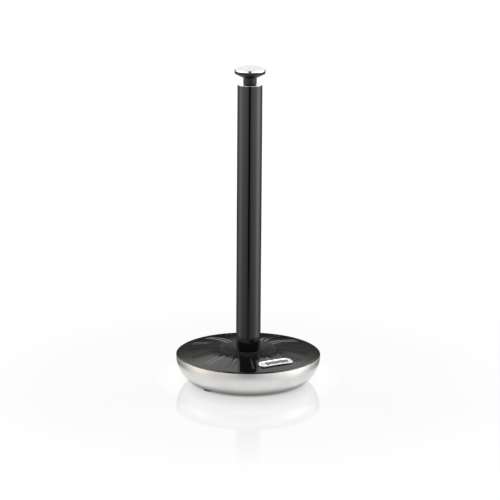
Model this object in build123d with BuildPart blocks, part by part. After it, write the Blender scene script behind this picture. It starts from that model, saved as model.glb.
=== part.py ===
"""Free-standing paper towel holder: a weighted round base, a fixed centre pole and a screw-on finial.

Millimetres, +Z up along the pole. The origin is on the table, under the middle of the base.
"""

from build123d import *
import os
from math import asin, degrees

os.makedirs("parts", exist_ok=True)

# ---- driving dimensions ----

# base
FOOT_HEIGHT = 3.0  # the rubber feet lift the steel bowl this far off the table
SHELL_ARC_HEIGHT = 25.5  # from the bowl's flat bottom to where its side stands upright
SHELL_RIM_HEIGHT = 0.8  # upright rim above that
SHELL_TOP_RADIUS = 75.0  # widest circle of the whole object
COVER_RADIUS = 74.7
COVER_WALL = 2.4

# the cover's face: it climbs from the pole to a round ridge and falls away to its edge
POLE_FOOT_LEVEL = 33.1
RIDGE_RADIUS = 40.0  # the two straight slopes would meet at this radius and level
RIDGE_LEVEL = 35.5
RIDGE_ROUND = 60.0
COVER_EDGE_LEVEL = 30.25

# pole and finial
TUBE_RADIUS = 12.7
TUBE_WALL = 1.2
COLLAR_TOP = 311.5  # top face of the chromed ring on the pole
CAP_RADIUS = 15.9
TOTAL_HEIGHT = 331.0

# lines engraved in the cover, in pairs that point at the pole
LINE_PAIRS = 15
FIRST_PAIR_ANGLE = 253.0

# clearances, measured on the radius
THREAD_GAP = 0.05  # a thread is a plain shaft in a plain hole
LOOSE_GAP = 0.3

EDGE_BREAK = 0.8  # bevel on the leading edge of anything that is pushed or screwed in

# ---- values worked out from them ----

shell_bottom = FOOT_HEIGHT
shell_arc_top = shell_bottom + SHELL_ARC_HEIGHT
shell_top = shell_arc_top + SHELL_RIM_HEIGHT
hole_radius = TUBE_RADIUS + LOOSE_GAP
inner_slope = (RIDGE_LEVEL - POLE_FOOT_LEVEL) / (RIDGE_RADIUS - hole_radius)
outer_slope = (RIDGE_LEVEL - COVER_EDGE_LEVEL) / (COVER_RADIUS - RIDGE_RADIUS)


def slope_z(radius, depth=0.0):
    """Height of the cover's face on its two straight slopes, or of a face that lies depth below it."""
    if radius < RIDGE_RADIUS:
        return RIDGE_LEVEL - depth - inner_slope * (RIDGE_RADIUS - radius)
    return RIDGE_LEVEL - depth - outer_slope * (radius - RIDGE_RADIUS)


def crown_line(inner_radius, outer_radius, depth=0.0):
    """Profile of that face from one radius to another over the rounded ridge, in the current line."""
    return FilletPolyline(
        (inner_radius, slope_z(inner_radius, depth)),
        (RIDGE_RADIUS, RIDGE_LEVEL - depth),
        (outer_radius, slope_z(outer_radius, depth)),
        radius=RIDGE_ROUND,
    )


def crowned_layer(low, high):
    """A round layer between two levels over the cover's face, levels below it being negative."""
    with BuildPart() as layer:
        with BuildSketch(Plane.XZ):
            with BuildLine():
                under = crown_line(0, COVER_RADIUS, -low)
                over = crown_line(0, COVER_RADIUS, -high)
                Line(under @ 0, over @ 0)
                Line(under @ 1, over @ 1)
            make_face()
        revolve(axis=Axis.Z)
    return layer.part


def save(piece, name):
    """Labels a finished piece and writes its STEP file."""
    piece.label = name
    export_step(piece, f"parts/{name}.step")


# ---- base_shell: a deep-drawn stainless steel bowl with an open middle ----

SHELL_THICKNESS = 0.8
SHELL_ARC_RADIUS = 31.0  # the side is one round stretch below the rim
SHELL_OPENING = 40.0
SHELL_KNEE = 2.4  # outside radius of the turn into the flat bottom

shell_arc_centre = SHELL_TOP_RADIUS - SHELL_ARC_RADIUS
flange_top = shell_bottom + SHELL_THICKNESS
shell_inner_arc = SHELL_ARC_RADIUS - SHELL_THICKNESS
outer_angle = degrees(asin(SHELL_ARC_HEIGHT / SHELL_ARC_RADIUS))
inner_angle = degrees(asin((shell_arc_top - flange_top) / shell_inner_arc))

FOOT_CIRCLE = 51.5
FOOT_STEM_RADIUS = 2.5
FOOT_ANGLES = {"foot_front_left": 222.0, "foot_right": 342.0, "foot_rear": 102.0}

with BuildPart() as base_shell:
    with BuildSketch(Plane.XZ) as shell_profile:
        with BuildLine():
            side = CenterArc((shell_arc_centre, shell_arc_top), SHELL_ARC_RADIUS, -outer_angle, outer_angle)
            inside = CenterArc((shell_arc_centre, shell_arc_top), shell_inner_arc, -inner_angle, inner_angle)
            rim_inner = (SHELL_TOP_RADIUS - SHELL_THICKNESS, shell_top)
            Polyline(side @ 1, (SHELL_TOP_RADIUS, shell_top), rim_inner, inside @ 1)
            Polyline(side @ 0, (SHELL_OPENING, shell_bottom), (SHELL_OPENING, flange_top), inside @ 0)
        make_face()
        fillet(shell_profile.vertices().sort_by_distance(side @ 0)[0], SHELL_KNEE)
        fillet(shell_profile.vertices().sort_by_distance(inside @ 0)[0], SHELL_KNEE - SHELL_THICKNESS)
    revolve(axis=Axis.Z)
    with BuildSketch(Plane.XY.offset(shell_bottom)):
        for foot_angle in FOOT_ANGLES.values():
            with PolarLocations(FOOT_CIRCLE, 1, start_angle=foot_angle):
                Circle(FOOT_STEM_RADIUS)
    extrude(amount=SHELL_THICKNESS, mode=Mode.SUBTRACT)
save(base_shell.part, "base_shell")

# ---- feet: push-in rubber feet, each with a barbed stem through the bowl's bottom ----

FOOT_RADIUS = 7.5
FOOT_EDGE = 0.6
FOOT_BARB_RADIUS = 3.3
FOOT_BARB_HEIGHT = 2.4
FOOT_BARB_TAPER = 18.0

for foot_name, foot_angle in FOOT_ANGLES.items():
    with BuildPart() as foot:
        with BuildSketch(Plane.XY):
            with PolarLocations(FOOT_CIRCLE, 1, start_angle=foot_angle):
                Circle(FOOT_RADIUS)
        extrude(amount=FOOT_HEIGHT)
        chamfer(foot.edges().sort_by(Axis.Z)[0], FOOT_EDGE)
        with BuildSketch(Plane.XY.offset(shell_bottom)):
            with PolarLocations(FOOT_CIRCLE, 1, start_angle=foot_angle):
                Circle(FOOT_STEM_RADIUS)
        extrude(amount=SHELL_THICKNESS)
        with BuildSketch(Plane.XY.offset(flange_top)):
            with PolarLocations(FOOT_CIRCLE, 1, start_angle=foot_angle):
                Circle(FOOT_BARB_RADIUS)
        extrude(amount=FOOT_BARB_HEIGHT, taper=FOOT_BARB_TAPER)
    save(foot.part, foot_name)

# ---- base_cover: moulded gloss cover with a skirt, a hub, ribs and screw bosses underneath ----

LIP_TOP_ROUND = 0.6
LIP_FOOT_ROUND = 0.2  # leaves a narrow flat that stands on the bowl's edge
SKIRT_RADIUS = 73.3
SKIRT_WALL = 2.0
SKIRT_HEIGHT = 5.0
HUB_WALL = 3.2
HUB_BOTTOM = 26.6
GROMMET_RADIUS = 13.5
GROMMET_SEAT = 1.6
RIB_COUNT = 6
RIB_WIDTH = 1.4
RIB_DEPTH = 3.0  # below the inside of the wall

SCREW_COUNT = 3
SCREW_CIRCLE = 30.0
SCREW_START_ANGLE = 42.0
SCREW_RADIUS = 1.95
BOSS_RADIUS = 4.5
PILOT_DEPTH = 6.0
BALLAST_TOP = 22.0

LINE_WIDTH = 1.8
LINE_DEPTH = 0.8
LINE_SPACING = 5.2
LINE_INNER_RADIUS = 26.0
LINE_OUTER_RADIUS = 64.5
CUTTER_HEADROOM = 1.0  # how far the line cutter stands out of the face
CUTTER_HEIGHT = 9.0  # upright cutters start at the bowl's top edge and end above the ridge

skirt_bore = SKIRT_RADIUS - SKIRT_WALL
hub_radius = hole_radius + HUB_WALL
line_length = LINE_OUTER_RADIUS - LINE_INNER_RADIUS
line_middle = (LINE_OUTER_RADIUS + LINE_INNER_RADIUS) / 2
rib_start_angle = SCREW_START_ANGLE + 180 / RIB_COUNT

line_layer = crowned_layer(-LINE_DEPTH, CUTTER_HEADROOM)
with BuildPart() as line_cutter:
    with BuildSketch(Plane.XY.offset(shell_top)):
        with PolarLocations(line_middle, LINE_PAIRS, start_angle=FIRST_PAIR_ANGLE):
            with GridLocations(0, LINE_SPACING, 1, 2):
                SlotOverall(line_length, LINE_WIDTH)
    extrude(amount=CUTTER_HEIGHT)
    add(line_layer, mode=Mode.INTERSECT)

with BuildPart() as base_cover:
    with BuildSketch(Plane.XZ) as cover_profile:
        with BuildLine():
            crown = crown_line(hole_radius, COVER_RADIUS)
            ceiling = crown_line(hub_radius, skirt_bore, COVER_WALL)
            Polyline(
                crown @ 1,
                (COVER_RADIUS, shell_top),
                (SKIRT_RADIUS, shell_top),
                (SKIRT_RADIUS, shell_top - SKIRT_HEIGHT),
                (skirt_bore, shell_top - SKIRT_HEIGHT),
                ceiling @ 1,
            )
            Polyline(ceiling @ 0, (hub_radius, HUB_BOTTOM), (hole_radius, HUB_BOTTOM), crown @ 0)
        make_face()
        fillet(cover_profile.vertices().sort_by_distance(crown @ 1)[0], LIP_TOP_ROUND)
        fillet(cover_profile.vertices().sort_by_distance((COVER_RADIUS, shell_top))[0], LIP_FOOT_ROUND)
    revolve(axis=Axis.Z)
    with BuildSketch(Plane.XY.offset(BALLAST_TOP)):
        with PolarLocations(SCREW_CIRCLE, SCREW_COUNT, start_angle=SCREW_START_ANGLE):
            Circle(BOSS_RADIUS)
    extrude(until=Until.NEXT)
    with BuildSketch(Plane.XY.offset(slope_z(skirt_bore, COVER_WALL) - RIB_DEPTH)):
        with PolarLocations((hub_radius + SKIRT_RADIUS) / 2, RIB_COUNT, start_angle=rib_start_angle):
            Rectangle(skirt_bore - hub_radius, RIB_WIDTH)
    extrude(until=Until.NEXT)
    with BuildSketch(Plane.XY.offset(BALLAST_TOP)):
        with PolarLocations(SCREW_CIRCLE, SCREW_COUNT, start_angle=SCREW_START_ANGLE):
            Circle(SCREW_RADIUS)
    extrude(amount=PILOT_DEPTH, mode=Mode.SUBTRACT)
    with BuildSketch(Plane.XY.offset(slope_z(GROMMET_RADIUS) - GROMMET_SEAT)):
        Circle(GROMMET_RADIUS)
    extrude(amount=2 * GROMMET_SEAT, mode=Mode.SUBTRACT)
    add(line_cutter.part, mode=Mode.SUBTRACT)
save(base_cover.part, "base_cover")

# ---- pole_grommet: soft ring that closes the gap between the pole and the cover ----

GROMMET_PROUD = 0.15
GROMMET_EDGE = 0.1

grommet_bottom = slope_z(GROMMET_RADIUS) - GROMMET_SEAT
with BuildPart() as pole_grommet:
    with BuildSketch(Plane.XY.offset(grommet_bottom)):
        Circle(GROMMET_RADIUS)
        Circle(TUBE_RADIUS, mode=Mode.SUBTRACT)
    extrude(amount=GROMMET_SEAT + GROMMET_PROUD)
    top_edges = pole_grommet.edges().filter_by(GeomType.CIRCLE).group_by(Axis.Z)[-1]
    fillet(top_edges.sort_by(SortBy.RADIUS)[-1], GROMMET_EDGE)
save(pole_grommet.part, "pole_grommet")

# ---- ballast_disc: cast iron weight that keeps the holder standing ----

BALLAST_RADIUS = 59.0
BALLAST_BOTTOM = 8.0
BALLAST_EDGE = 1.5
BOLT_RADIUS = 3.95
BOLT_CLEARANCE = 4.5
BOLT_POCKET_RADIUS = 12.0
BOLT_POCKET_TOP = 14.0
SCREW_CLEARANCE = 2.5
PIN_RADIUS = 1.5
PIN_CIRCLE = 15.0
PIN_BOTTOM = 17.0

with BuildPart() as ballast_disc:
    with BuildSketch(Plane.XY.offset(BALLAST_BOTTOM)):
        Circle(BALLAST_RADIUS)
        Circle(BOLT_CLEARANCE, mode=Mode.SUBTRACT)
        with PolarLocations(SCREW_CIRCLE, SCREW_COUNT, start_angle=SCREW_START_ANGLE):
            Circle(SCREW_CLEARANCE, mode=Mode.SUBTRACT)
    extrude(amount=BALLAST_TOP - BALLAST_BOTTOM)
    chamfer(ballast_disc.edges().filter_by(GeomType.CIRCLE).group_by(SortBy.RADIUS)[-1], BALLAST_EDGE)
    with BuildSketch(Plane.XY.offset(BALLAST_BOTTOM)):
        Circle(BOLT_POCKET_RADIUS)
    extrude(amount=BOLT_POCKET_TOP - BALLAST_BOTTOM, mode=Mode.SUBTRACT)
    with BuildSketch(Plane.XY.offset(PIN_BOTTOM)):
        with Locations((0, PIN_CIRCLE)):
            Circle(PIN_RADIUS)
    extrude(amount=BALLAST_TOP - PIN_BOTTOM, mode=Mode.SUBTRACT)
save(ballast_disc.part, "ballast_disc")

# ---- bottom_plate: moulded plate that hooks over the bowl's flange and carries the ballast ----

PLATE_THICKNESS = 2.0
PLATE_RADIUS = 44.5
PAN_RADIUS = 38.5  # the middle is raised, so that screw heads stay off the table
PAN_BOTTOM = BALLAST_BOTTOM - PLATE_THICKNESS
PAN_HOLE = 11.0

with BuildPart() as bottom_plate:
    with BuildSketch(Plane.XZ):
        with BuildLine():
            Polyline(
                (PAN_HOLE, PAN_BOTTOM),
                (PAN_RADIUS - PLATE_THICKNESS, PAN_BOTTOM),
                (PAN_RADIUS - PLATE_THICKNESS, flange_top),
                (PLATE_RADIUS, flange_top),
                (PLATE_RADIUS, flange_top + PLATE_THICKNESS),
                (PAN_RADIUS, flange_top + PLATE_THICKNESS),
                (PAN_RADIUS, BALLAST_BOTTOM),
                (PAN_HOLE, BALLAST_BOTTOM),
                close=True,
            )
        make_face()
    revolve(axis=Axis.Z)
    with BuildSketch(Plane.XY.offset(PAN_BOTTOM)):
        with PolarLocations(SCREW_CIRCLE, SCREW_COUNT, start_angle=SCREW_START_ANGLE):
            Circle(SCREW_CLEARANCE)
    extrude(amount=PLATE_THICKNESS, mode=Mode.SUBTRACT)
save(bottom_plate.part, "bottom_plate")

# ---- base_screws: pan-head screws that clamp plate, ballast, bowl and cover together ----

SCREW_HEAD_RADIUS = 3.9
SCREW_HEAD_HEIGHT = 2.4
SCREW_HEAD_ROUND = 1.0
SCREW_RECESS = 1.4
SCREW_RECESS_WIDTH = 0.9
SCREW_RECESS_LENGTH = 4.2
SCREW_TIP_GAP = 0.8

screw_tip = BALLAST_TOP + PILOT_DEPTH - SCREW_TIP_GAP
screw_head_bottom = PAN_BOTTOM - SCREW_HEAD_HEIGHT
with BuildPart() as base_screws:
    with BuildSketch(Plane.XY.offset(screw_head_bottom)):
        with PolarLocations(SCREW_CIRCLE, SCREW_COUNT, start_angle=SCREW_START_ANGLE):
            Circle(SCREW_HEAD_RADIUS)
    extrude(amount=SCREW_HEAD_HEIGHT)
    fillet(base_screws.edges().filter_by(GeomType.CIRCLE).group_by(Axis.Z)[0], SCREW_HEAD_ROUND)
    with BuildSketch(Plane.XY.offset(screw_head_bottom)):
        with PolarLocations(SCREW_CIRCLE, SCREW_COUNT, start_angle=SCREW_START_ANGLE):
            Rectangle(SCREW_RECESS_LENGTH, SCREW_RECESS_WIDTH)
            Rectangle(SCREW_RECESS_WIDTH, SCREW_RECESS_LENGTH)
    extrude(amount=SCREW_RECESS, mode=Mode.SUBTRACT)
    with BuildSketch(Plane.XY.offset(PAN_BOTTOM)):
        with PolarLocations(SCREW_CIRCLE, SCREW_COUNT, start_angle=SCREW_START_ANGLE):
            Circle(SCREW_RADIUS - THREAD_GAP)
    extrude(amount=screw_tip - PAN_BOTTOM)
    chamfer(base_screws.edges().filter_by(GeomType.CIRCLE).group_by(Axis.Z)[-1], EDGE_BREAK)
save(base_screws.part, "base_screws")

# ---- lower_plug: flanged steel plug fixed in the foot of the pole, threaded for the bolt ----

PLUG_FLANGE_RADIUS = 18.0
PLUG_FLANGE_HEIGHT = 3.0
PLUG_LENGTH = 20.0

tube_bore = TUBE_RADIUS - TUBE_WALL
tube_bottom = BALLAST_TOP + PLUG_FLANGE_HEIGHT
with BuildPart() as lower_plug:
    with BuildSketch(Plane.XY.offset(BALLAST_TOP)):
        Circle(PLUG_FLANGE_RADIUS)
        with Locations((0, PIN_CIRCLE)):
            Circle(PIN_RADIUS, mode=Mode.SUBTRACT)
    extrude(amount=PLUG_FLANGE_HEIGHT)
    with BuildSketch(Plane.XY.offset(tube_bottom)):
        Circle(tube_bore)
    extrude(amount=PLUG_LENGTH)
    chamfer(lower_plug.edges().sort_by(Axis.Z)[-1], EDGE_BREAK)
    with BuildSketch(Plane.XY.offset(BALLAST_TOP)):
        Circle(BOLT_RADIUS + THREAD_GAP)
    extrude(amount=PLUG_FLANGE_HEIGHT + PLUG_LENGTH, mode=Mode.SUBTRACT)
save(lower_plug.part, "lower_plug")

# ---- anti_turn_pin: stops the pole from turning on the ballast ----

with BuildPart() as anti_turn_pin:
    with BuildSketch(Plane.XY.offset(PIN_BOTTOM)):
        with Locations((0, PIN_CIRCLE)):
            Circle(PIN_RADIUS)
            Circle(PIN_RADIUS / 2, mode=Mode.SUBTRACT)
    extrude(amount=tube_bottom - PIN_BOTTOM)
save(anti_turn_pin.part, "anti_turn_pin")

# ---- pole_bolt with its two washers: holds the pole down on the ballast from below ----

WASHER_RADIUS = 10.5
WASHER_THICKNESS = 1.6
LOCK_WASHER_RADIUS = 7.0
LOCK_WASHER_THICKNESS = 2.0
LOCK_WASHER_SPLIT = 1.2
BOLT_ACROSS_FLATS = 13.0
BOLT_HEAD_HEIGHT = 5.3
BOLT_HEAD_BEVEL = 0.6
BOLT_TOP = 38.0

washer_bottom = BOLT_POCKET_TOP - WASHER_THICKNESS
lock_washer_bottom = washer_bottom - LOCK_WASHER_THICKNESS

with BuildPart() as pole_washer:
    with BuildSketch(Plane.XY.offset(washer_bottom)):
        Circle(WASHER_RADIUS)
        Circle(BOLT_CLEARANCE, mode=Mode.SUBTRACT)
    extrude(amount=WASHER_THICKNESS)
save(pole_washer.part, "pole_washer")

with BuildPart() as pole_lock_washer:
    with BuildSketch(Plane.XY.offset(lock_washer_bottom)):
        Circle(LOCK_WASHER_RADIUS)
        Circle(BOLT_CLEARANCE, mode=Mode.SUBTRACT)
        with Locations(((BOLT_CLEARANCE + LOCK_WASHER_RADIUS) / 2, 0)):
            Rectangle(LOCK_WASHER_RADIUS, LOCK_WASHER_SPLIT, mode=Mode.SUBTRACT)
    extrude(amount=LOCK_WASHER_THICKNESS)
save(pole_lock_washer.part, "pole_lock_washer")

with BuildPart() as pole_bolt:
    with BuildSketch(Plane.XY.offset(lock_washer_bottom - BOLT_HEAD_HEIGHT)):
        RegularPolygon(BOLT_ACROSS_FLATS / 2, 6, major_radius=False)
    extrude(amount=BOLT_HEAD_HEIGHT)
    chamfer(pole_bolt.edges().group_by(Axis.Z)[0], BOLT_HEAD_BEVEL)
    with BuildSketch(Plane.XY.offset(lock_washer_bottom)):
        Circle(BOLT_RADIUS)
    extrude(amount=BOLT_TOP - lock_washer_bottom)
    chamfer(pole_bolt.edges().filter_by(GeomType.CIRCLE).sort_by(Axis.Z)[-1], EDGE_BREAK)
save(pole_bolt.part, "pole_bolt")

# ---- pole_tube ----

COLLAR_FLANGE_HEIGHT = 0.4

tube_top = COLLAR_TOP - COLLAR_FLANGE_HEIGHT
with BuildPart() as pole_tube:
    with BuildSketch(Plane.XY.offset(tube_bottom)):
        Circle(TUBE_RADIUS)
        Circle(tube_bore, mode=Mode.SUBTRACT)
    extrude(amount=tube_top - tube_bottom)
save(pole_tube.part, "pole_tube")

# ---- top_collar: chromed ring whose threaded plug is fixed in the top of the tube ----

COLLAR_PROUD = 0.1
COLLAR_BEVEL = 0.15
COLLAR_PLUG_LENGTH = 14.0
STUD_RADIUS = 2.95

collar_radius = TUBE_RADIUS + COLLAR_PROUD
collar_bottom = tube_top - COLLAR_PLUG_LENGTH
with BuildPart() as top_collar:
    with BuildSketch(Plane.XY.offset(collar_bottom)):
        Circle(tube_bore)
    extrude(amount=COLLAR_PLUG_LENGTH)
    chamfer(top_collar.edges().sort_by(Axis.Z)[0], EDGE_BREAK)
    with BuildSketch(Plane.XY.offset(tube_top)):
        Circle(collar_radius)
    extrude(amount=COLLAR_FLANGE_HEIGHT)
    chamfer(top_collar.edges().sort_by(Axis.Z)[-1], COLLAR_BEVEL)
    with BuildSketch(Plane.XY.offset(collar_bottom)):
        Circle(STUD_RADIUS + THREAD_GAP)
    extrude(amount=COLLAR_TOP - collar_bottom, mode=Mode.SUBTRACT)
save(top_collar.part, "top_collar")

# ---- finial_washer: nylon washer that seats between the collar and the finial ----

FINIAL_WASHER_RADIUS = 6.4
FINIAL_WASHER_THICKNESS = 0.8

neck_bottom = COLLAR_TOP + FINIAL_WASHER_THICKNESS
with BuildPart() as finial_washer:
    with BuildSketch(Plane.XY.offset(COLLAR_TOP)):
        Circle(FINIAL_WASHER_RADIUS)
        Circle(STUD_RADIUS + LOOSE_GAP, mode=Mode.SUBTRACT)
    extrude(amount=FINIAL_WASHER_THICKNESS)
save(finial_washer.part, "finial_washer")

# ---- finial_stem: moulded neck that flares out under the cap ----

NECK_RADIUS = 6.9
NECK_ROUND = 0.6
NECK_TOP = 318.2
FLARE_RIM_BOTTOM = 322.7  # where the cone would meet the upright rim if it weren't rounded
FLARE_RIM_ROUND = 1.2
FLARE_TOP = 325.3
CAP_BAND_HEIGHT = 2.0
CAP_OVERHANG = 0.2
CAP_WALL = 1.0
STUD_TOP = 321.0

cap_band_top = FLARE_TOP + CAP_BAND_HEIGHT
seat_radius = CAP_RADIUS - CAP_WALL
flare_radius = CAP_RADIUS - CAP_OVERHANG
with BuildPart() as finial_stem:
    with BuildSketch(Plane.XZ) as stem_profile:
        with BuildLine():
            Polyline(
                (STUD_RADIUS, neck_bottom),
                (NECK_RADIUS, neck_bottom),
                (NECK_RADIUS, NECK_TOP),
                (flare_radius, FLARE_RIM_BOTTOM),
                (flare_radius, FLARE_TOP),
                (seat_radius, FLARE_TOP),
                (seat_radius, cap_band_top - CAP_WALL),
                (0, cap_band_top - CAP_WALL),
                (0, STUD_TOP),
                (STUD_RADIUS, STUD_TOP),
                close=True,
            )
        make_face()
        fillet(stem_profile.vertices().sort_by_distance((NECK_RADIUS, neck_bottom))[0], NECK_ROUND)
        fillet(stem_profile.vertices().sort_by_distance((flare_radius, FLARE_RIM_BOTTOM))[0], FLARE_RIM_ROUND)
    revolve(axis=Axis.Z)
save(finial_stem.part, "finial_stem")

# ---- finial_stud: steel stud moulded into the stem, screwed into the collar ----

STUD_BOTTOM = 299.0

with BuildPart() as finial_stud:
    with BuildSketch(Plane.XY.offset(STUD_BOTTOM)):
        Circle(STUD_RADIUS)
    extrude(amount=STUD_TOP - STUD_BOTTOM)
    chamfer(finial_stud.edges().filter_by(GeomType.CIRCLE).sort_by(Axis.Z)[0], EDGE_BREAK)
save(finial_stud.part, "finial_stud")

# ---- finial_cap: chromed cap with an upright band and a low crown ----

CAP_EDGE = 0.5

cap_rise = TOTAL_HEIGHT - cap_band_top
cap_crown_radius = (CAP_RADIUS**2 + cap_rise**2) / (2 * cap_rise)
with BuildPart() as finial_cap:
    with BuildSketch(Plane.XZ) as cap_profile:
        with BuildLine():
            Polyline(
                (0, cap_band_top - CAP_WALL),
                (seat_radius, cap_band_top - CAP_WALL),
                (seat_radius, FLARE_TOP),
                (CAP_RADIUS, FLARE_TOP),
                (CAP_RADIUS, cap_band_top),
            )
            RadiusArc((CAP_RADIUS, cap_band_top), (0, TOTAL_HEIGHT), -cap_crown_radius)
            Line((0, TOTAL_HEIGHT), (0, cap_band_top - CAP_WALL))
        make_face()
        fillet(cap_profile.vertices().sort_by_distance((CAP_RADIUS, cap_band_top))[0], CAP_EDGE)
    revolve(axis=Axis.Z)
save(finial_cap.part, "finial_cap")

# ---- badge: blank bright plate on a thin adhesive pad, laid across one pair of lines ----

BADGE_LENGTH = 38.0
BADGE_WIDTH = 11.0
BADGE_THICKNESS = 1.4
BADGE_CIRCLE = 56.5
BADGE_ANGLE = 299.5
BADGE_CORNER = 4.5
BADGE_EDGE = 0.4
PAD_INSET = 0.8
PAD_THICKNESS = 0.25


def badge_piece(inset, low, high):
    """One layer of the badge: its rounded outline, set in by inset, between two levels over the cover."""
    layer = crowned_layer(low, high)
    with BuildPart() as piece:
        with BuildSketch(Plane.XY.offset(shell_top)):
            with PolarLocations(BADGE_CIRCLE, 1, start_angle=BADGE_ANGLE):
                RectangleRounded(BADGE_WIDTH - 2 * inset, BADGE_LENGTH - 2 * inset, BADGE_CORNER - inset)
        extrude(amount=CUTTER_HEIGHT)
        add(layer, mode=Mode.INTERSECT)
    return piece


badge_pad = badge_piece(PAD_INSET, 0, PAD_THICKNESS)
save(badge_pad.part, "badge_pad")

badge_plate = badge_piece(0, PAD_THICKNESS, PAD_THICKNESS + BADGE_THICKNESS)
with badge_plate:
    fillet(badge_plate.faces().sort_by(Axis.Z)[-1].edges(), BADGE_EDGE)
save(badge_plate.part, "badge_plate")
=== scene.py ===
"""Looks of the paper towel holder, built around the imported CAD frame. Metres, +Z up along the pole."""

from math import asin, atan, cos, degrees, hypot, pi, radians, sin, sqrt, tan

import bmesh
import bpy
from mathutils import Matrix, Vector


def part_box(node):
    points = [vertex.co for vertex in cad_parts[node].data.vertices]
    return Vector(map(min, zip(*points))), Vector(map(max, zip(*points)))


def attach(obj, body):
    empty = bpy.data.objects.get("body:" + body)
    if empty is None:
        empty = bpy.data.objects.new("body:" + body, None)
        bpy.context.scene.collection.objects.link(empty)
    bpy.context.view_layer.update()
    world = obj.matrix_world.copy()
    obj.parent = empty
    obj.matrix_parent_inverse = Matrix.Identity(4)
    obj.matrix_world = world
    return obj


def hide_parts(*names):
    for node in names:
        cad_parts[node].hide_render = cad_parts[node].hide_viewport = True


MM = 0.001

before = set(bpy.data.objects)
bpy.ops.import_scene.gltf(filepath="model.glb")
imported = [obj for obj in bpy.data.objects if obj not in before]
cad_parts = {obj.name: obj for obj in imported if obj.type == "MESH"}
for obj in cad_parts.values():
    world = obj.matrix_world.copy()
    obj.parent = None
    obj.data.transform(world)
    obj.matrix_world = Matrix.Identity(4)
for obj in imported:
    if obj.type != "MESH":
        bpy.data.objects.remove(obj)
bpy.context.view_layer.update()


def radius_of(node):
    """Outside radius of a CAD node that stands round the pole's axis."""
    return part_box(node)[1].x


def bottom_of(node):
    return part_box(node)[0].z


def top_of(node):
    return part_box(node)[1].z


# ---- mesh helpers ----


def add_mesh(name, points, faces):
    """A smooth-shaded mesh object at the origin, so that its object coordinates are the frame's."""
    mesh = bpy.data.meshes.new(name)
    mesh.from_pydata(points, [], faces)
    work = bmesh.new()
    work.from_mesh(mesh)
    bmesh.ops.recalc_face_normals(work, faces=work.faces)
    work.to_mesh(mesh)
    work.free()
    for polygon in mesh.polygons:
        polygon.use_smooth = True
    made = bpy.data.objects.new(name, mesh)
    bpy.context.scene.collection.objects.link(made)
    return made


def arc(centre, size, start, end, steps):
    """Points of a round stretch of a profile, from one angle to another, in degrees."""
    points = []
    for step in range(steps + 1):
        angle = radians(start + (end - start) * step / steps)
        points.append((centre[0] + size * cos(angle), centre[1] + size * sin(angle)))
    return points


def rounded(corners, closed=True, steps=6):
    """Profile through (radius, z, rounding) corners; a corner of two numbers stays as it is.

    Each rounded corner gets extra points just outside its arc, so that flat stretches shade flat."""
    points = []
    count = len(corners)
    for index, corner in enumerate(corners):
        at = Vector(corner[:2])
        size = corner[2] if len(corner) == 3 else 0
        if not size or (not closed and index in (0, count - 1)):
            points.append(tuple(at))
            continue
        before = (Vector(corners[index - 1][:2]) - at).normalized()
        after = (Vector(corners[(index + 1) % count][:2]) - at).normalized()
        half = before.angle(after) / 2
        reach = size / tan(half)
        middle = at + (before + after).normalized() * size / sin(half)
        first = at + before * reach
        last = at + after * reach
        points.append(tuple(first + before * size * 0.5))
        spokes = (first - middle).normalized(), (last - middle).normalized()
        for step in range(steps + 1):
            points.append(tuple(middle + spokes[0].slerp(spokes[1], step / steps) * size))
        points.append(tuple(last + after * size * 0.5))
    return points


def turned(name, profile, segments=160, closed=True, axis=(0, 0)):
    """A turned piece from its (radius, z) profile. A point on the axis becomes one vertex."""
    points = []
    rings = []
    for radius, z in profile:
        if radius < 1e-7:
            rings.append([len(points)])
            points.append((axis[0], axis[1], z))
            continue
        rings.append(range(len(points), len(points) + segments))
        for segment in range(segments):
            angle = 2 * pi * segment / segments
            points.append((axis[0] + radius * cos(angle), axis[1] + radius * sin(angle), z))
    faces = []
    pairs = list(zip(rings, rings[1:]))
    if closed:
        pairs.append((rings[-1], rings[0]))
    for low, high in pairs:
        for segment in range(segments):
            after = (segment + 1) % segments
            if len(low) == 1 and len(high) == 1:
                break
            if len(low) == 1:
                faces.append((low[0], high[after], high[segment]))
            elif len(high) == 1:
                faces.append((low[segment], low[after], high[0]))
            else:
                faces.append((low[segment], low[after], high[after], high[segment]))
    return add_mesh(name, points, faces)


# ---- material helpers ----


def grey(level):
    """A neutral colour."""
    return (level, level, level)


def opaque(colour):
    """A colour with its alpha added, or a node's output as it is."""
    if isinstance(colour, bpy.types.NodeSocket):
        return colour
    return (*colour, 1)


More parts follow.
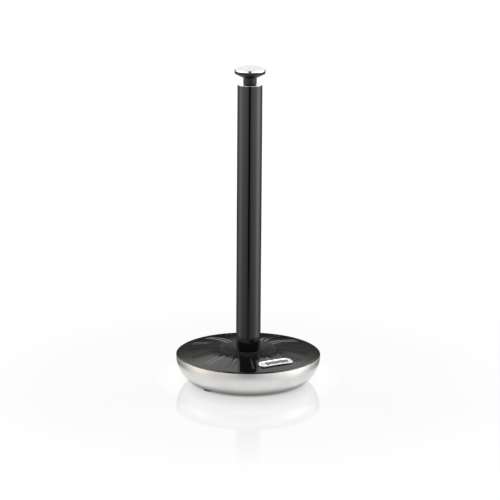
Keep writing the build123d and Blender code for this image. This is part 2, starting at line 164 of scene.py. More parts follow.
class Tree:
    """Adds nodes to a node tree. A value is either a number or another node's output."""

    def __init__(self, node_tree):
        self.nodes = node_tree.nodes
        self.links = node_tree.links

    def node(self, kind, inputs=None, **settings):
        """Adds a node with these settings, then sets or links its inputs."""
        made = self.nodes.new(kind)
        for setting, value in settings.items():
            setattr(made, setting, value)
        for socket, value in (inputs or {}).items():
            if isinstance(value, bpy.types.NodeSocket):
                self.links.new(value, made.inputs[socket])
            else:
                made.inputs[socket].default_value = value
        return made

    def math(self, operation, first, second=0.0):
        return self.node("ShaderNodeMath", {0: first, 1: second}, operation=operation).outputs[0]

    def spread(self, value, low, high, start=0.3, end=0.7):
        """Maps a value from start..end to low..high, in a straight line."""
        values = {"Value": value, "From Min": start, "From Max": end, "To Min": low, "To Max": high}
        return self.node("ShaderNodeMapRange", values).outputs[0]

    def fade(self, value, start, end, low=0.0, high=1.0):
        """Maps a value from start..end to low..high, with a soft beginning and end."""
        values = {"Value": value, "From Min": start, "From Max": end, "To Min": low, "To Max": high}
        return self.node("ShaderNodeMapRange", values, interpolation_type="SMOOTHSTEP").outputs[0]

    def mix(self, share, first, second):
        """A value between two, by a share from 0 to 1."""
        ends = {"Factor": share, "A": first, "B": second}
        return self.node("ShaderNodeMix", ends, data_type="FLOAT").outputs["Result"]

    def blend(self, share, first, second):
        """A colour between two, by a share from 0 to 1."""
        ends = {"Factor": share, "A": opaque(first), "B": opaque(second)}
        return self.node("ShaderNodeMix", ends, data_type="RGBA").outputs["Result"]

    def ramp(self, value, stops, brightest=1.0):
        """Brightness along a value, through (value, brightness) stops."""
        low = stops[0][0]
        high = stops[-1][0]
        made = self.node("ShaderNodeValToRGB", {"Fac": self.spread(value, 0, 1, start=low, end=high)})
        elements = made.color_ramp.elements
        for at, brightness in stops[1:-1]:
            elements.new((at - low) / (high - low))
        for element, (at, brightness) in zip(elements, stops):
            element.position = (at - low) / (high - low)
            element.color = opaque(grey(brightness / brightest))
        return self.math("MULTIPLY", made.outputs["Color"], brightest)


class Look(Tree):
    """A material built round one Principled shader. Constant values go on the shader's own sockets."""

    def __init__(self, name, **values):
        self.material = bpy.data.materials.new(name)
        self.material.use_nodes = True
        super().__init__(self.material.node_tree)
        self.shader = self.nodes["Principled BSDF"]
        self.place = self.node("ShaderNodeTexCoord").outputs["Object"]
        for socket, value in values.items():
            self.shader.inputs[socket.replace("_", " ")].default_value = value

    def noise(self, scale, stretch=(1, 1, 1), detail=4.0, roughness=0.55, place=None):
        """Noise of that many cells per metre, drawn out along an axis where stretch is small."""
        mapped = self.node("ShaderNodeMapping", {"Vector": place or self.place, "Scale": stretch})
        values = {"Vector": mapped.outputs[0], "Scale": scale, "Detail": detail, "Roughness": roughness}
        return self.node("ShaderNodeTexNoise", values).outputs["Fac"]

    def around(self, turns):
        """Coordinates for marks drawn out in circles round the pole.

        The direction from the pole, times turns, and across the circles the radius plus the height."""
        split = self.node("ShaderNodeSeparateXYZ", {"Vector": self.place})
        flat = self.node("ShaderNodeCombineXYZ", {"X": split.outputs["X"], "Y": split.outputs["Y"]})
        length = self.node("ShaderNodeVectorMath", {0: flat.outputs[0]}, operation="LENGTH").outputs["Value"]
        direction = self.node("ShaderNodeVectorMath", {0: flat.outputs[0]}, operation="NORMALIZE").outputs[0]
        slow = self.node("ShaderNodeVectorMath", {0: direction, "Scale": turns}, operation="SCALE").outputs[0]
        across = self.math("ADD", length, split.outputs["Z"])
        raised = self.node("ShaderNodeCombineXYZ", {"Z": across})
        return self.node("ShaderNodeVectorMath", {0: slow, 1: raised.outputs[0]}, operation="ADD").outputs[0]

    def paint(self, socket, output):
        self.links.new(output, self.shader.inputs[socket])

    def mottle(self, noise, first, second):
        """Lets the base colour wander between two with a noise."""
        self.paint("Base Color", self.blend(self.spread(noise, 0, 1), first, second))

    def bump(self, height, distance):
        """Raises the surface by up to distance, in metres, with the height."""
        values = {"Height": height, "Distance": distance, "Strength": 1.0}
        self.paint("Normal", self.node("ShaderNodeBump", values).outputs[0])

    def surface(self, output):
        """Puts another shader's output in place of the Principled shader's."""
        self.links.new(output, self.nodes["Material Output"].inputs["Surface"])


def brushed_stainless():
    look = Look("brushed_stainless_look", Metallic=1.0, Anisotropic=0.45)
    streaks = look.noise(2600, detail=3, place=look.around(0.012))
    cloud = look.noise(55, detail=2)
    tone = look.math("ADD", look.math("MULTIPLY", streaks, 0.35), look.math("MULTIPLY", cloud, 0.65))
    brushed = look.blend(look.spread(tone, 0, 1), (0.67, 0.665, 0.65), (0.77, 0.765, 0.745))
    # painted shade: the steel's colour is darkened towards the bottom, where the bowl turns under towards the
    # table, in place of the contact shade and dark floor it reflects there
    height = look.node("ShaderNodeSeparateXYZ", {0: look.place}).outputs["Z"]
    painted_contact_shade = look.fade(height, 12 * MM, 3.5 * MM)
    look.paint("Base Color", look.blend(painted_contact_shade, brushed, (0.2, 0.2, 0.19)))
    look.paint("Roughness", look.spread(streaks, 0.27, 0.38))
    tangent = look.node("ShaderNodeTangent", direction_type="RADIAL", axis="Z")
    look.paint("Tangent", tangent.outputs[0])
    look.bump(streaks, 0.004 * MM)
    return look.material


def gloss_black_moulding():
    look = Look("gloss_black_moulding_look", IOR=1.5)
    smudge = look.noise(38, detail=3)
    dust = look.spread(look.noise(900, detail=2), 0, 1, start=0.70, end=0.78)
    look.paint("Base Color", look.blend(dust, grey(0.003), (0.03, 0.03, 0.029)))
    look.paint("Roughness", look.spread(smudge, 0.025, 0.075))
    look.bump(look.noise(420, detail=1), 0.0006 * MM)
    return look.material


def gloss_black_lacquer():
    look = Look("gloss_black_lacquer_look", IOR=1.5)
    drawn = look.noise(1500, stretch=(1, 1, 0.004), detail=3)
    look.mottle(drawn, grey(0.0015), grey(0.004))
    look.paint("Roughness", look.spread(drawn, 0.015, 0.04))
    look.bump(drawn, 0.0008 * MM)
    return look.material


def satin_black_moulding():
    look = Look("satin_black_moulding_look", IOR=1.4)
    grain = look.noise(3800, detail=3)
    wear = look.noise(160, detail=2)
    look.mottle(wear, grey(0.008), grey(0.014))
    look.paint("Roughness", look.spread(wear, 0.26, 0.36))
    look.bump(grain, 0.006 * MM)
    return look.material


def bright_chrome():
    look = Look("bright_chrome_look", Metallic=1.0)
    haze = look.noise(240, detail=3)
    look.mottle(haze, (0.86, 0.865, 0.87), grey(0.93))
    look.paint("Roughness", look.spread(haze, 0.008, 0.022))
    look.bump(look.noise(700, detail=1), 0.0008 * MM)
    return look.material


def cast_iron():
    look = Look("cast_iron_look", Metallic=0.7)
    sand = look.noise(900, detail=5, roughness=0.7)
    stain = look.noise(60, detail=3)
    look.mottle(stain, (0.045, 0.044, 0.043), (0.11, 0.105, 0.10))
    look.paint("Roughness", look.spread(sand, 0.55, 0.8))
    look.bump(sand, 0.12 * MM)
    return look.material


def matte_black_plastic():
    look = Look("matte_black_plastic_look", IOR=1.46)
    grain = look.noise(2400, detail=4)
    tone = look.noise(90, detail=2)
    look.mottle(tone, grey(0.014), grey(0.024))
    look.paint("Roughness", look.spread(grain, 0.5, 0.68))
    look.bump(grain, 0.03 * MM)
    return look.material


def black_rubber():
    look = Look("black_rubber_look", IOR=1.52)
    bloom = look.noise(130, detail=3)
    grain = look.noise(1800, detail=3)
    look.mottle(bloom, grey(0.012), (0.030, 0.030, 0.029))
    look.paint("Roughness", look.spread(grain, 0.55, 0.8))
    look.bump(grain, 0.02 * MM)
    return look.material


def zinc_plated_steel():
    look = Look("zinc_plated_steel_look", Metallic=1.0)
    spangle = look.noise(420, detail=3)
    fine = look.noise(2600, detail=2)
    look.mottle(spangle, (0.46, 0.47, 0.48), (0.62, 0.62, 0.60))
    look.paint("Roughness", look.spread(spangle, 0.28, 0.48))
    look.bump(fine, 0.004 * MM)
    return look.material


def nylon():
    look = Look("nylon_look", IOR=1.53)
    cloud = look.noise(500, detail=3)
    look.mottle(cloud, grey(0.010), grey(0.020))
    look.paint("Roughness", look.spread(cloud, 0.4, 0.55))
    look.bump(look.noise(3000, detail=2), 0.004 * MM)
    return look.material


def foam_tape():
    look = Look("foam_tape_look", IOR=1.45)
    cells = look.node("ShaderNodeTexVoronoi", {"Vector": look.place, "Scale": 5000.0}).outputs["Distance"]
    look.mottle(cells, grey(0.02), grey(0.06))
    look.paint("Roughness", look.spread(cells, 0.75, 0.95))
    look.bump(cells, 0.04 * MM)
    return look.material


looks = {
    "brushed_stainless": brushed_stainless(),
    "gloss_black_moulding": gloss_black_moulding(),
    "gloss_black_lacquer": gloss_black_lacquer(),
    "satin_black_moulding": satin_black_moulding(),
    "bright_chrome": bright_chrome(),
    "cast_iron": cast_iron(),
    "matte_black_plastic": matte_black_plastic(),
    "black_rubber": black_rubber(),
    "zinc_plated_steel": zinc_plated_steel(),
    "nylon": nylon(),
    "foam_tape": foam_tape(),
}

# each CAD node keeps its slot and gets the better material for it
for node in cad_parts.values():
    for material_slot in node.material_slots:
        material_slot.material = looks[material_slot.material.name]


def finished(piece, node, body, slot_name):
    """Gives a new piece its material and puts it in its CAD node's place, on its body and with its slot."""
    piece.data.materials.append(looks[slot_name])
    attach(piece, body)
    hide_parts(node)


# ---- base cover: crowned, rounded at the edge, with pairs of engraved lines ----

LINE_PAIRS = 15
FIRST_PAIR_ANGLE = radians(253)
LINE_HALF_WIDTH = 0.9 * MM
LINE_DEPTH = 0.75 * MM
LINE_OFFSET = 2.6 * MM
LINE_INNER = 26 * MM
LINE_OUTER = 64.5 * MM
LINE_RUN_IN = 5 * MM  # the line deepens over this length at its inner end
LINE_WALL_TOP = 1.05  # in half widths from the line's middle, as are the next two
LINE_WALL_WIDTH = 0.95
LINE_COLUMNS = (0.05, 0.2, 0.4, 0.6, 0.8, 0.95, 1.05, 1.15, 1.5)
BAND_HALF_WIDTH = 4.4 * MM  # the strip of close columns that holds both lines of a pair

cover_radius = radius_of("base_cover")
bowl_top = top_of("base_shell")
tube_radius = radius_of("pole_tube")
hole_radius = tube_radius + 0.3 * MM

# the face climbs on a straight slope from the pole, goes over a round ridge and falls to the edge
ridge = Vector((40 * MM, 35.5 * MM))
ridge_round = 60 * MM
level_at_pole = 33.1 * MM
level_at_edge = 30.25 * MM
inner_slope = atan((ridge.y - level_at_pole) / (ridge.x - hole_radius))
outer_slope = atan((ridge.y - level_at_edge) / (cover_radius - ridge.x))
ridge_reach = ridge_round * tan((inner_slope + outer_slope) / 2)
ridge_start = ridge.x - ridge_reach * cos(inner_slope)
ridge_end = ridge.x + ridge_reach * cos(outer_slope)
ridge_middle = ridge_start + ridge_round * sin(inner_slope)
ridge_centre = ridge.y - ridge_reach * sin(inner_slope) - ridge_round * cos(inner_slope)


def crown_z(radius):
    """Height of the cover's face at a radius."""
    if radius < ridge_start:
        return ridge.y - (ridge.x - radius) * tan(inner_slope)
    if radius > ridge_end:
        return ridge.y - (radius - ridge.x) * tan(outer_slope)
    return ridge_centre + sqrt(ridge_round**2 - (radius - ridge_middle) ** 2)


def line_cut(along, across):
    """How deep the engraved pair is at a place in its own sector."""
    depth = 0.0
    run_in = min(1, max(0, (along - LINE_INNER) / LINE_RUN_IN))
    for side in (-1, 1):
        past_end = max(LINE_INNER + LINE_HALF_WIDTH - along, along - LINE_OUTER + LINE_HALF_WIDTH, 0)
        away = hypot(past_end, across - side * LINE_OFFSET) / LINE_HALF_WIDTH
        depth = max(depth, LINE_DEPTH * run_in * min(1, (LINE_WALL_TOP - away) / LINE_WALL_WIDTH))
    return depth


def sector_columns(radius):
    """Angles of one sector's columns at a radius: close and parallel across the two lines, then even."""
    half_sector = pi / LINE_PAIRS
    # close to the pole the strip is squeezed, to leave a tenth of its sector free
    band = min(BAND_HALF_WIDTH, 0.9 * radius * sin(half_sector))
    shrink = band / BAND_HALF_WIDTH
    offsets = [0.0]
    for side in (-1, 1):
        offsets.append(side * BAND_HALF_WIDTH)
        for share in LINE_COLUMNS:
            for flank in (-share, share):
                offsets.append(side * LINE_OFFSET + flank * LINE_HALF_WIDTH)
    angles = [asin(offset * shrink / radius) for offset in sorted(offsets)]
    band_angle = angles[-1]
    gap = half_sector - band_angle
    return [-half_sector, -band_angle - gap / 2, *angles, band_angle + gap / 2]


def make_cover():
    seat_radius = radius_of("pole_grommet")
    hub = hole_radius + 3.2 * MM
    skirt = 73.3 * MM
    wall = 2.4 * MM
    ceiling_outer = skirt - 2 * MM
    seat = crown_z(seat_radius) - 1.6 * MM
    hub_bottom = 26.6 * MM
    skirt_bottom = bowl_top - 5 * MM
    lip_round = 3.7 * MM
    lip_end = 40  # degrees over the level at which the round stretch ends

    # rows of the face lie closer together at the lines' round ends
    radii = [seat_radius + 0.3 * MM]
    radii += [seat_radius + step * 2 * MM for step in range(1, 6)]
    for end in (LINE_INNER, LINE_OUTER - 2 * LINE_HALF_WIDTH):
        radii += [end + step * 0.2 * MM for step in range(-2, 12)]
    radii += [LINE_INNER + 3.8 * MM + step * 3.1 * MM for step in range(11)]
    radii += [LINE_OUTER + 1.6 * MM, LINE_OUTER + 4 * MM, cover_radius - 4.5 * MM, cover_radius - 3 * MM]
    top = [(radius, crown_z(radius)) for radius in sorted(radii)]

    # the lip is a round stretch from the face's slope down to the bowl's rim
    lip_centre_radius = cover_radius - lip_round * cos(radians(lip_end))
    lip_start = lip_centre_radius + lip_round * sin(outer_slope)
    lip_centre = (lip_centre_radius, crown_z(lip_start) - lip_round * cos(outer_slope))
    lip = arc(lip_centre, lip_round, 90 - degrees(outer_slope), lip_end + 1, 8)
    lip += arc(lip_centre, lip_round, lip_end + 0.5, lip_end, 1)
    under = [
        (skirt + 0.4 * MM, bowl_top),
        (skirt, bowl_top),
        (skirt, bowl_top - 0.3 * MM),
        (skirt, skirt_bottom + 0.3 * MM),
        (skirt - 0.3 * MM, skirt_bottom),
        (ceiling_outer + 0.3 * MM, skirt_bottom),
        (ceiling_outer, skirt_bottom + 0.3 * MM),
        (ceiling_outer, crown_z(ceiling_outer) - wall),
        *[(radius * MM, crown_z(radius * MM) - wall) for radius in (56, 46, 38, 30)],
        (hub, crown_z(hub) - wall),
        (hub, hub_bottom),
        (hole_radius, hub_bottom),
        (hole_radius, seat),
        (seat_radius, seat),
        (seat_radius, crown_z(seat_radius) - 0.3 * MM),
        (seat_radius, crown_z(seat_radius) - 0.08 * MM),
        (seat_radius + 0.08 * MM, crown_z(seat_radius) - 0.01 * MM),
    ]
    rows = [*top, *lip, *under]
    points = []
    for index, (radius, z) in enumerate(rows):
        for sector in range(LINE_PAIRS):
            middle = FIRST_PAIR_ANGLE + 2 * pi * sector / LINE_PAIRS
            for angle in sector_columns(radius):
                cut = line_cut(radius * cos(angle), radius * sin(angle)) if index < len(top) else 0
                points.append((radius * cos(middle + angle), radius * sin(middle + angle), z - cut))
    across = len(points) // len(rows)
    faces = []
    for row in range(len(rows)):
        start = row * across
        after = (row + 1) % len(rows) * across
        for column in range(across):
            beside = (column + 1) % across
            faces.append((start + column, after + column, after + beside, start + beside))
    return add_mesh("cover_shell", points, faces)


finished(make_cover(), "base_cover", "base", "gloss_black_moulding")

# ---- steel bowl ----


def make_bowl():
    sheet = 0.8 * MM
    side = 31 * MM
    opening = 40 * MM
    top_radius = radius_of("base_shell")
    low = bottom_of("base_shell")
    high = top_of("base_shell")
    upright = high - 0.8 * MM
    centre = (top_radius - side, upright)
    angle = degrees(asin((upright - low) / side))
    inner_side = side - sheet
    inner_angle = degrees(asin((upright - low - sheet) / inner_side))
    knee = 5.0  # degrees of both arcs left out for the rounded turn to the flat bottom
    outside = arc(centre, side, 0, -(angle - knee), 40)
    inside = arc(centre, inner_side, -(inner_angle - knee), 0, 40)
    turn = (centre[0] + side * cos(radians(angle)), low, 2.4 * MM)
    inner_turn = (centre[0] + inner_side * cos(radians(inner_angle)), low + sheet, 1.6 * MM)
    flat = [turn, (opening, low, 0.25 * MM), (opening, low + sheet, 0.25 * MM), inner_turn]
    rim = [(top_radius - sheet, high, 0.12 * MM), (top_radius, high, 0.2 * MM)]
    return turned("bowl_shell", rounded([*outside, *flat, *inside, *rim]), segments=224)


finished(make_bowl(), "base_shell", "base", "brushed_stainless")

# ---- pole, its foot ring and the chromed ring on top ----

tube_bore = tube_radius - 1.2 * MM


def make_tube():
    low = bottom_of("pole_tube")
    high = top_of("pole_tube")
    edge = 0.25 * MM
    corners = [
        (tube_radius, low, edge),
        (tube_radius, high, edge),
        (tube_bore, high, edge),
        (tube_bore, low, edge),
    ]
    return turned("pole_lacquered", rounded(corners))


def make_grommet():
    outer = radius_of("pole_grommet")
    low = bottom_of("pole_grommet")
    high = top_of("pole_grommet")
    corners = [
        (outer, low, 0.15 * MM),
        (outer, high, 0.12 * MM),
        (tube_radius + 0.01 * MM, high, 0.05 * MM),
        (tube_radius + 0.01 * MM, low, 0.15 * MM),
    ]
    return turned("pole_foot_ring", rounded(corners))


def make_collar():
    outer = radius_of("top_collar")
    hole = 3 * MM
    low = bottom_of("top_collar")
    seat = top_of("pole_tube")
    high = top_of("top_collar")
    corners = [
        (tube_bore, low, 0.6 * MM),
        (tube_bore, seat),
        (outer, seat, 0.08 * MM),
        (outer, high, 0.15 * MM),
        (hole, high, 0.3 * MM),
        (hole, low, 0.3 * MM),
    ]
    return turned("collar_ring", rounded(corners))


finished(make_tube(), "pole_tube", "base", "gloss_black_lacquer")
finished(make_grommet(), "pole_grommet", "base", "black_rubber")
finished(make_collar(), "top_collar", "base", "bright_chrome")

# ---- finial ----


def make_stem():
    stud = radius_of("finial_stud")
    neck = 6.9 * MM
    flare = radius_of("finial_stem")
    low = bottom_of("finial_stem")
    neck_top = 318.2 * MM
    rim_low = 322.7 * MM
    rim_high = bottom_of("finial_cap")
    seat = radius_of("finial_cap") - 1 * MM
    high = top_of("finial_stem")
    corners = [
        (stud, low, 0.3 * MM),
        (neck, low, 0.25 * MM),
        (neck, neck_top, 0.3 * MM),
        (flare, rim_low, 1.2 * MM),
        (flare, rim_high, 0.15 * MM),
        (seat, rim_high, 0.1 * MM),
        (seat, high, 0.2 * MM),
        (0, high),
        (0, top_of("finial_stud")),
        (stud, top_of("finial_stud"), 0.2 * MM),
    ]
    return turned("finial_stem_moulded", rounded(corners))


def make_cap():
    outer = radius_of("finial_cap")
    low = bottom_of("finial_cap")
    high = top_of("finial_cap")
    band_top = low + 2 * MM
    seat = outer - 1 * MM
    rise = high - band_top
    crown = (outer**2 + rise**2) / (2 * rise)
    slope = degrees(asin(outer / crown))
    edge_gap = 2.0  # degrees of the crown left out for its rounded edge
    dome = arc((0, high - crown), crown, 90 - slope + edge_gap, 90, 30)[:-1]
    corners = [
        (0, band_top - 1 * MM),
        (seat, band_top - 1 * MM, 0.15 * MM),
        (seat, low, 0.1 * MM),
        (outer, low, 0.2 * MM),
        (outer, band_top, 0.3 * MM),
        *dome,
        (0, high),
    ]
    return turned("finial_cap_chromed", rounded(corners), segments=192)


def make_stud():
    """The steel stud with its right-hand thread cut in, 1 mm to the turn."""
    outer = radius_of("finial_stud")
    low = bottom_of("finial_stud")
    high = top_of("finial_stud")
    pitch = 1 * MM
    depth = 0.55 * MM
    point = 0.8 * MM  # the lower end's bevel
    segments = 48
    count = 264
    points = [(0, 0, low)]
    for row in range(count + 1):
        z = low + (high - low) * row / count
        tip = outer - max(0, point - (z - low))
        for segment in range(segments):
            turn = segment / segments
            wave = abs(2 * ((z / pitch - turn) % 1) - 1)
            radius = min(tip, outer - depth * wave)
            points.append((radius * cos(2 * pi * turn), radius * sin(2 * pi * turn), z))
    points.append((0, 0, high))
    faces = []
    for segment in range(segments):
        after = (segment + 1) % segments
        faces.append((0, 1 + after, 1 + segment))
        last = 1 + count * segments
        faces.append((last + segment, last + after, len(points) - 1))
        for row in range(count):
            start = 1 + row * segments
            above = start + segments
            faces.append((start + segment, start + after, above + after, above + segment))
    return add_mesh("finial_stud_threaded", points, faces)


finished(make_stem(), "finial_stem", "finial", "satin_black_moulding")
finished(make_stud(), "finial_stud", "finial", "zinc_plated_steel")
finished(make_cap(), "finial_cap", "finial", "bright_chrome")

# ---- rubber feet: two round grooves in the sole, and a barbed stalk through the bowl's bottom ----


def make_foot(node):
    low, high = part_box(node)
    middle = (low + high) / 2
    radius = (high.x - low.x) / 2
    lift = bottom_of("base_shell")
    sheet = lift + 0.8 * MM
    stalk = 2.5 * MM
    barb = 3.3 * MM
    groove = 0.3 * MM  # its depth, and as far again to each sloping side
    groove_width = 1.1 * MM
    edge = 0.1 * MM
    sole = [(0, 0)]
    for ring in (2.6 * MM, 4.6 * MM):
        sole += [
            (ring, 0, edge),
            (ring + groove, groove, edge),
            (ring + groove_width - groove, groove, edge),
            (ring + groove_width, 0, edge),
        ]
    corners = [
        *sole,
        (radius, 0, 0.7 * MM),
        (radius, lift, 0.3 * MM),
        (stalk, lift),
        (stalk, sheet),
        (barb, sheet, 0.2 * MM),
        (stalk, high.z, 0.5 * MM),
        (0, high.z),
    ]
    return turned(node + "_moulded", rounded(corners), segments=96, axis=(middle.x, middle.y))


for foot_node in ("foot_front_left", "foot_right", "foot_rear"):
    finished(make_foot(foot_node), foot_node, "base", "black_rubber")

# ---- badge: a plain raised rim round a field with one round boss and a row of bars ----

BADGE_ANGLE = radians(299.5)
BADGE_RADIUS = 56.5 * MM
# levels over the cover's face
BADGE_UNDERSIDE = 0.25 * MM
BADGE_RIM = 1.65 * MM
BADGE_FIELD = 1.35 * MM

badge_outward = Vector((cos(BADGE_ANGLE), sin(BADGE_ANGLE)))
badge_along = Vector((-sin(BADGE_ANGLE), cos(BADGE_ANGLE)))


def on_badge(u, v, level):
    """The point u along the badge and v outward from its middle, at a level over the cover's face."""
    spot = badge_outward * (BADGE_RADIUS + v) + badge_along * u
    return (spot.x, spot.y, crown_z(spot.length) + level)


def smooth(value):
    """A soft step from 0 to 1."""
    share = min(1, max(0, value))
    return share * share * (3 - 2 * share)


def make_badge():
    length = 38 * MM
    width = 11 * MM
    corner = 4.5 * MM
    edge = 0.35 * MM
    rim_width = 0.9 * MM
    rim_slope = 0.4 * MM
    boss_radius = 2.3 * MM
    boss_slope = 0.5 * MM
    boss_height = 0.28 * MM
    boss_place = 5 * MM - length / 2
    columns = 150
    rows = 44

    def relief(u, v):
        """Level of the upper side: rounded at the outline, a rim, and a field with one round boss."""
        past = hypot(max(0, abs(u) - length / 2 + corner), max(0, abs(v) - width / 2 + corner))
        if past > 0:
            inside = corner - past
        else:
            inside = min(length / 2 - abs(u), width / 2 - abs(v))
        inside = max(0, inside)
        level = BADGE_RIM
        if inside < edge:
            level -= edge - sqrt(edge**2 - (edge - inside) ** 2)
        level -= (BADGE_RIM - BADGE_FIELD) * smooth((inside - rim_width) / rim_slope)
        level += boss_height * smooth((boss_radius - hypot(u - boss_place, v)) / boss_slope)
        return level

    points = []
    for column in range(columns + 1):
        # columns lie closer together at both round ends
        u = length / 2 * sin(pi * (column / columns - 0.5))
        past = max(0, abs(u) - length / 2 + corner)
        reach = width / 2 - corner + sqrt(max(0, corner**2 - past**2))
        for side in (1, -1):
            for row in range(rows + 1):
                v = reach * sin(pi * (row / rows - 0.5)) * side
                level = relief(u, v) if side == 1 else BADGE_UNDERSIDE
                points.append(on_badge(u, v, level))
    ring = 2 * (rows + 1)
    faces = []
    for column in range(columns):
        for index in range(ring):
            start = column * ring
            after = (index + 1) % ring
            faces.append((start + index, start + after, start + ring + after, start + ring + index))
    for start in (0, columns * ring):
        for row in range(rows):
            under = start + ring - 1 - row
            faces.append((start + row, start + row + 1, under - 1, under))
    return add_mesh("badge_plate_stamped", points, faces)


def make_badge_marks():
    """A plain row of short enamelled bars in the badge's field, every third one a little longer."""
    count = 9
    pitch = 2.9 * MM
    first = -10 * MM
    half_width = 1.08 * MM
    half_length = 2.7 * MM
    long_half_length = 3.4 * MM
    corner = 0.45 * MM
    steps = 24
    # each ring of points is drawn in from the bar's outline by an inset, and has its own level
    rings = [
        (0, BADGE_FIELD - 0.1 * MM),
        (0, BADGE_FIELD + 0.12 * MM),
        (0.12 * MM, BADGE_FIELD + 0.22 * MM),
    ]
    points = []
    faces = []
    for bar in range(count):
        middle = first + bar * pitch
        reach = half_length if bar % 3 else long_half_length
        lowest = len(points)
        for inset, level in rings:
            for step in range(steps):
                turn = 2 * pi * (step + 0.5) / steps
                side_u = 1 if cos(turn) > 0 else -1
                side_v = 1 if sin(turn) > 0 else -1
                u = middle + side_u * (half_width - corner) + (corner - inset) * cos(turn)
                v = side_v * (reach - corner) + (corner - inset) * sin(turn)
                points.append(on_badge(u, v, level))
        highest = lowest + 2 * steps
        for ring in (lowest, lowest + steps):
            for step in range(steps):
                after = (step + 1) % steps
                faces.append((ring + step, ring + after, ring + steps + after, ring + steps + step))
        faces.append(tuple(lowest + step for step in reversed(range(steps))))
        faces.append(tuple(highest + step for step in range(steps)))
    return add_mesh("badge_marks", points, faces)


finished(make_badge(), "badge_plate", "base", "bright_chrome")
marks = make_badge_marks()
marks.data.materials.append(looks["gloss_black_lacquer"])
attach(marks, "base")

# ---- floor, surroundings and camera ----


def make_floor():
    """Pale floor in two pieces with one look; only the near one shows in what stands on it.

    It mirrors the holder faintly, and less further out."""
    near_radius = 0.098
    far_radius = 9.0
    level = -0.02 * MM
    look = Look("floor_look", Specular_IOR_Level=0.0, Emission_Color=(1, 1, 1, 1))
    look.mottle(look.noise(14, detail=2), grey(0.150), grey(0.152))
    distance = look.node("ShaderNodeVectorMath", {0: look.place}, operation="LENGTH").outputs["Value"]
    # the floor's own glow keeps shadows soft; it is cut almost to nothing under the bowl as a painted contact
    # shadow, and is brightest in a ring just beside the bowl as painted light that lifts the shade there
    glow = look.fade(distance, 0.049, 0.064, low=0.01, high=0.88)
    # painted light: the glow falls off again past the ring beside the bowl
    painted_light_falloff = look.spread(distance, 0, 0.145, start=0.064, end=0.1)
    further_out = look.spread(distance, 0, 0.1, start=0.2, end=0.5)
    horizon = look.spread(distance, 0, 0.2, start=0.8, end=3.5)
    glow = look.math("SUBTRACT", glow, painted_light_falloff)
    glow = look.math("ADD", glow, further_out)
    look.paint("Emission Strength", look.math("ADD", glow, horizon))
    near_share = look.spread(distance, 0.24, 0.09, start=0.07, end=0.15)
    lost_share = look.spread(distance, 0, 0.09, start=0.15, end=0.27)
    share = look.math("SUBTRACT", near_share, lost_share)
    gloss = look.node("ShaderNodeBsdfAnisotropic", {"Color": (1, 1, 1, 1), "Roughness": 0.0})
    mixed = look.node("ShaderNodeMixShader", {0: share, 1: look.shader.outputs[0], 2: gloss.outputs[0]})
    look.surface(mixed.outputs[0])
    near = turned("floor_near", [(0, level), (near_radius, level)], segments=96, closed=False)
    wide = turned("floor_wide", [(near_radius, level), (far_radius, level)], segments=96, closed=False)
    wide.visible_glossy = False
    for part in (near, wide):
        part.data.materials.append(look.material)


def make_back_card():
    """A card behind the holder: dark at the foot, paler towards the top.

    Only glossy surfaces reflect it, and the floor's sharp mirroring doesn't."""
    behind = 0.5
    half_width = 0.5
    height = 0.335
    brightness_by_height = [
        (0, 0.02),
        (0.051, 0.03),
        (0.102, 0.08),
        (0.17, 0.14),
        (0.221, 0.25),
        (0.272, 0.5),
        (0.3162, 0.9),
        (0.34, 1.0),
    ]
    look = Look("back_card_look")
    z = look.node("ShaderNodeSeparateXYZ", {"Vector": look.place}).outputs["Z"]
    brightness = look.ramp(z, brightness_by_height)
    glow = look.node("ShaderNodeEmission", {"Color": (1, 1, 0.96, 1), "Strength": brightness})
    clear = look.node("ShaderNodeBsdfTransparent")
    mirrored = look.node("ShaderNodeLightPath").outputs["Is Singular Ray"]
    mixed = look.node("ShaderNodeMixShader", {0: mirrored, 1: glow.outputs[0], 2: clear.outputs[0]})
    look.surface(mixed.outputs[0])
    corners = [
        (-half_width, behind, 0),
        (half_width, behind, 0),
        (half_width, behind, height),
        (-half_width, behind, height),
    ]
    card = add_mesh("back_card", corners, [(0, 1, 2, 3)])
    card.visible_camera = False
    card.visible_diffuse = False
    card.visible_shadow = False
    card.data.materials.append(look.material)


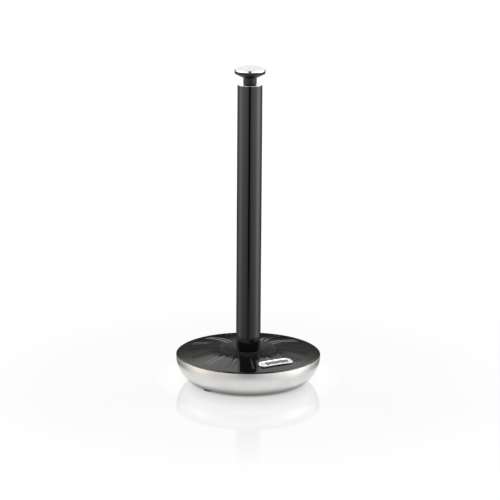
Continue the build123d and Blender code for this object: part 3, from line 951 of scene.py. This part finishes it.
def make_world():
    """A soft studio by direction, in degrees: bright panels at both sides, dim between them, pale below.

    The camera and sharp mirroring see plain white instead."""
    # how bright each part is, next to 1 for white
    ceiling = 0.95
    overhead = 0.3
    lamps = 4.6
    ground = 0.85
    backdrop = 1.0
    gap_glow = 0.28
    brightness_by_azimuth = [
        (-180, 0.06),
        (-144, 0.22),
        (-122, 0.57),
        (-105, 1.2),
        (-91, 1.9),
        (-79, 1.7),
        (-62, 1.25),
        (-41, 1.05),
        (-21, 0.85),
        (-12, 0.6),
        (-8, 0.12),
        (-5, 0.01),
        (4, 0.01),
        (7, 0.2),
        (12, 0.7),
        (35, 1.1),
        (55, 1.35),
        (68, 1.7),
        (79, 2.6),
        (92, 2.4),
        (105, 1.6),
        (122, 0.6),
        (144, 0.25),
        (180, 0.06),
    ]
    world = bpy.data.worlds.new("studio")
    world.use_nodes = True
    bpy.context.scene.world = world
    tree = Tree(world.node_tree)
    tree.nodes.clear()
    math = tree.math
    fade = tree.fade

    direction = tree.node("ShaderNodeTexCoord").outputs["Generated"]
    x, y, z = tree.node("ShaderNodeSeparateXYZ", {0: direction}).outputs
    to_degrees = 180 / pi
    # azimuth is 0 on the side the camera stands on, and positive towards +X
    azimuth = math("MULTIPLY", math("ARCTAN2", x, math("MULTIPLY", y, -1)), to_degrees)
    elevation = math("MULTIPLY", math("ARCSINE", z), to_degrees)

    # the panels are brighter higher up, and the dark gap in front ends in a glow lower down
    panels = tree.ramp(azimuth, brightness_by_azimuth, brightest=5)
    gain = tree.spread(elevation, 0.72, 1.3, start=-16, end=-9.5)
    from_front = math("ABSOLUTE", azimuth)
    in_gap = math("MULTIPLY", fade(from_front, 12, 6), fade(elevation, -14, -16))
    level = math("ADD", math("MULTIPLY", panels, gain), math("MULTIPLY", in_gap, gap_glow))
    level = tree.mix(fade(elevation, -7, 1), level, ceiling)

    # dark straight up and high in front; over is 0 at the level behind the holder, and 90 straight up
    over = math("MULTIPLY", math("ARCTAN2", z, y), to_degrees)
    level = tree.mix(math("MULTIPLY", fade(over, 62, 74), fade(elevation, 4, 14)), level, overhead)

    # two bright lamps high at the back, left and right, which show in the engraved lines' walls
    from_back = math("SUBTRACT", 180, from_front)
    sideways = math("MULTIPLY", fade(from_back, 38, 46), fade(from_back, 85, 70))
    high_up = math("MULTIPLY", fade(elevation, 26, 33), fade(elevation, 74, 64))
    level = tree.mix(math("MULTIPLY", sideways, high_up), level, lamps)
    level = tree.mix(fade(elevation, -22, -42), level, ground)

    path = tree.node("ShaderNodeLightPath")
    plain = math("MAXIMUM", path.outputs["Is Camera Ray"], path.outputs["Is Singular Ray"])
    strength = tree.mix(plain, level, backdrop)
    # the left side is a little warm, low down
    warm = math("MULTIPLY", fade(azimuth, -40, -70), fade(elevation, 2, -4))
    tint = tree.blend(plain, tree.blend(warm, grey(1), (1, 0.94, 0.85)), grey(1))
    background = tree.node("ShaderNodeBackground", {"Color": tint, "Strength": strength})
    tree.node("ShaderNodeOutputWorld", {"Surface": background.outputs[0]})


def make_lamp():
    """One large soft lamp overhead, which no glossy surface reflects."""
    panel = bpy.data.lights.new("overhead_panel", "AREA")
    panel.shape = "DISK"
    panel.size = 3.0
    panel.energy = 62.0
    lamp = bpy.data.objects.new("overhead_panel", panel)
    lamp.location = (0, -0.2, 3.0)
    lamp.visible_glossy = False
    bpy.context.scene.collection.objects.link(lamp)


def make_camera():
    """A long lens well in front of the holder, looking slightly down on it."""
    camera = bpy.data.cameras.new("camera")
    camera.sensor_width = 36.0
    camera.lens = 147.8
    camera.clip_end = 50.0
    made = bpy.data.objects.new("camera", camera)
    bpy.context.scene.collection.objects.link(made)
    place = Matrix.Translation((0, -2.050, 0.642))
    pitch = radians(13.771)
    yaw = radians(0.032)
    roll = radians(0.391)
    turn = Matrix.Rotation(-yaw, 4, "Z")
    tilt = Matrix.Rotation(pi / 2 - pitch, 4, "X")
    lean = Matrix.Rotation(roll, 4, "Z")
    made.matrix_world = place @ turn @ tilt @ lean
    bpy.context.scene.camera = made


make_floor()
make_back_card()
make_world()
make_lamp()
make_camera()

view_settings = bpy.context.scene.view_settings
view_settings.view_transform = "Standard"
view_settings.look = "None"
view_settings.exposure = 0.0
view_settings.gamma = 1.0
